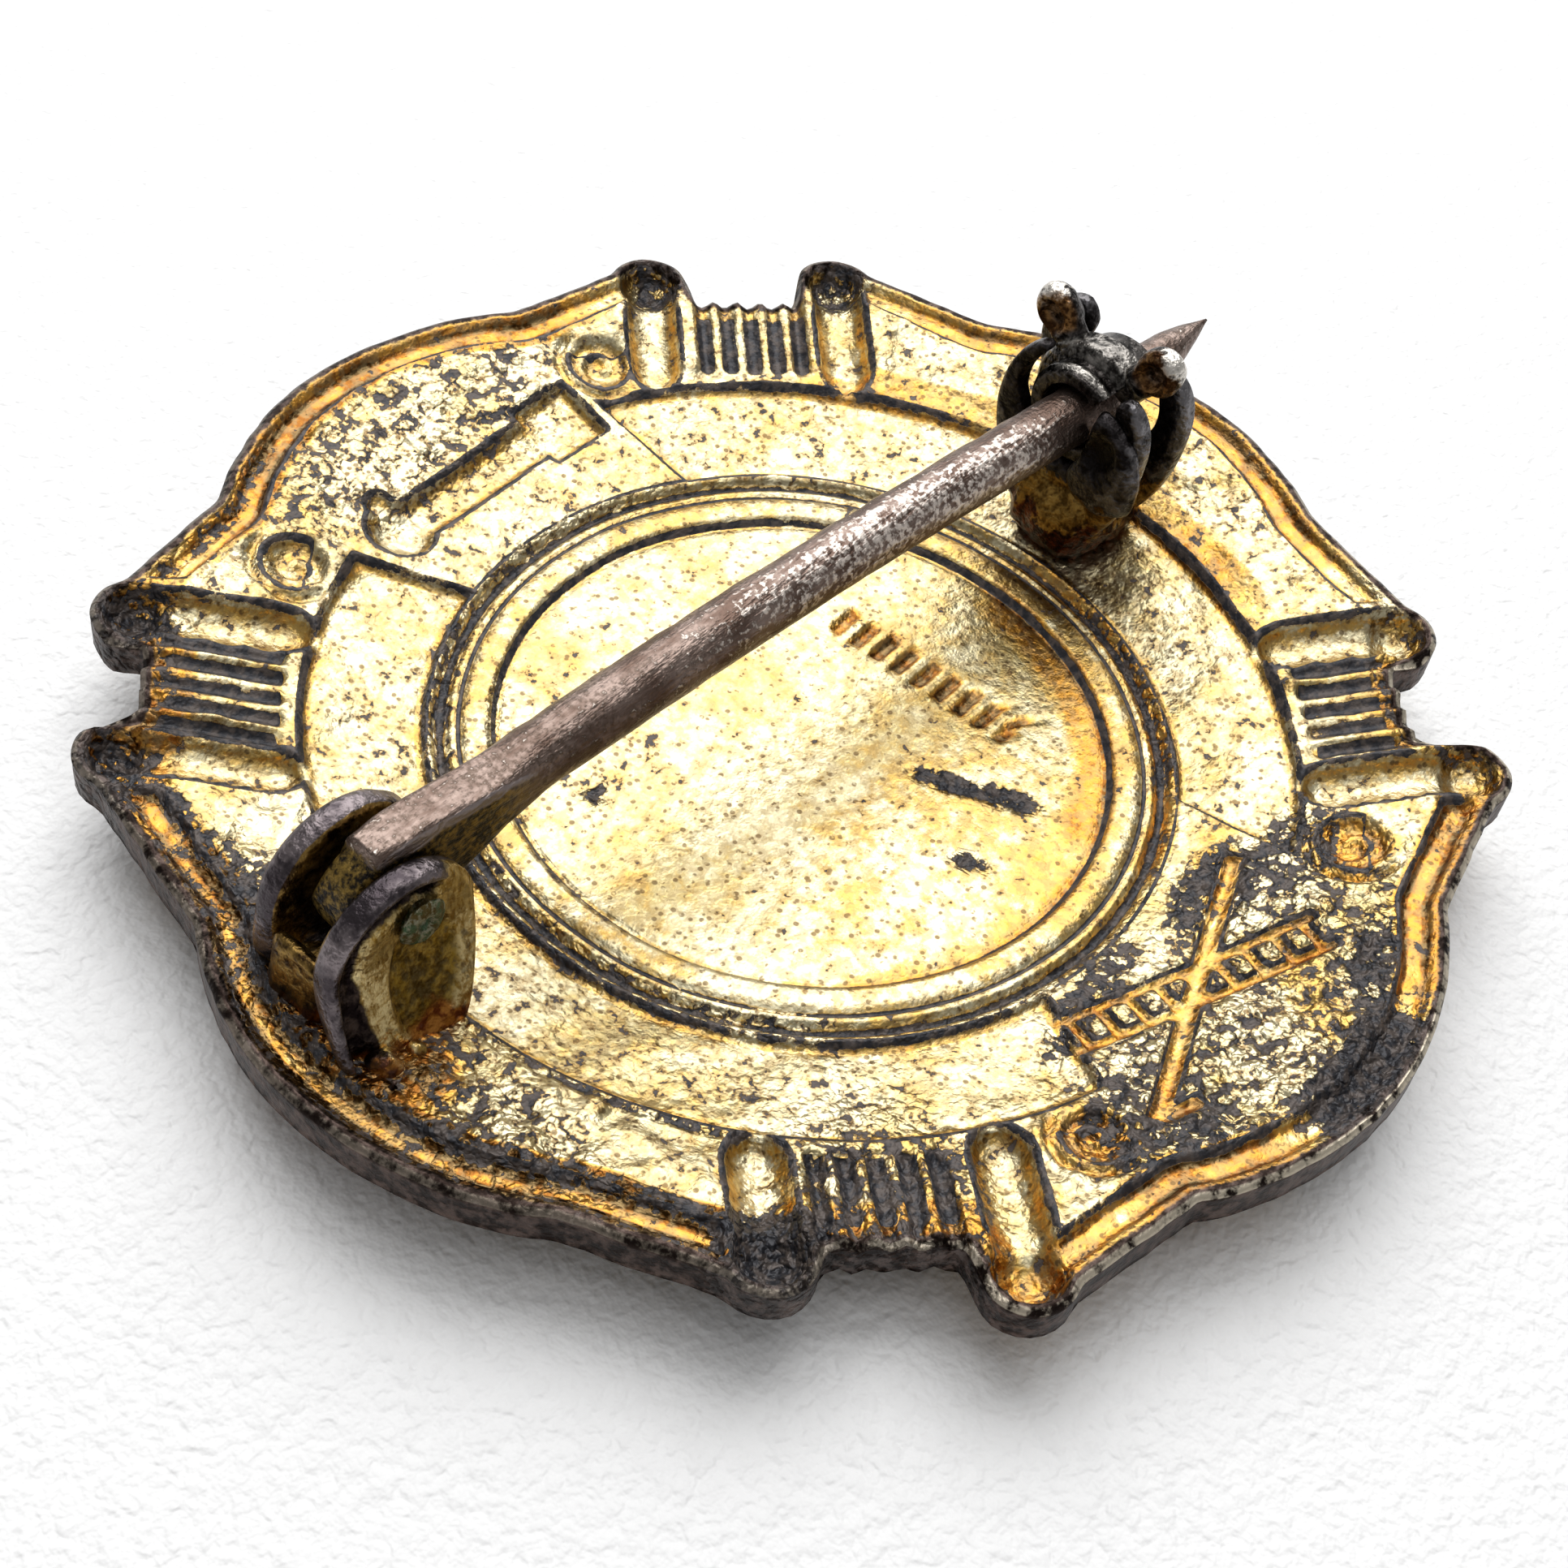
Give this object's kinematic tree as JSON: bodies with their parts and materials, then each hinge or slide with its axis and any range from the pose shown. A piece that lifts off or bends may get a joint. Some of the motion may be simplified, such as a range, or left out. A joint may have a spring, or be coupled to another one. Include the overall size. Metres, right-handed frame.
{
  "type": "firefighter badge",
  "caption": "Small struck metal cross badge with banners and emblems pressed in relief, and a hinged brooch pin with a rotating safety catch on its back.",
  "frame": {"origin": "under the middle of the badge, on the surface that its front disc rests on", "axes": "+Z out of the back, +X from the hinge to the catch along one arm of the cross, +Y along the next arm"},
  "size_m": [0.0278, 0.0278, 0.0069],
  "materials": {
    "gilt_metal": "worn pale gilding over silver, with dark tarnish in the recesses",
    "rivet_metal": "dull, tarnished",
    "pin_metal": "drawn wire, tarnished brown and grey with bright wear",
    "catch_metal": "blackened silver with bright worn tips"
  },
  "bodies": {
    "badge": {"struck_badge": "gilt_metal", "hinge_rivet": "rivet_metal"},
    "pin": {"pin_stem": "pin_metal"},
    "rotor": {"catch_rotor": "catch_metal"}
  },
  "joints": [
    {"name": "pin_hinge", "type": "hinge", "parent": "badge", "child": "pin", "pos_m": [-0.01048, 0.00178, 0.0041], "axis": [-0.0958, -0.9954, 0], "range_deg": [0, 105]},
    {"name": "catch_turn", "type": "hinge", "parent": "badge", "child": "rotor", "pos_m": [0.00923, -0.00012, 0.00465], "axis": [0.9954, -0.0958, 0], "range_deg": [0, 85]}
  ]
}
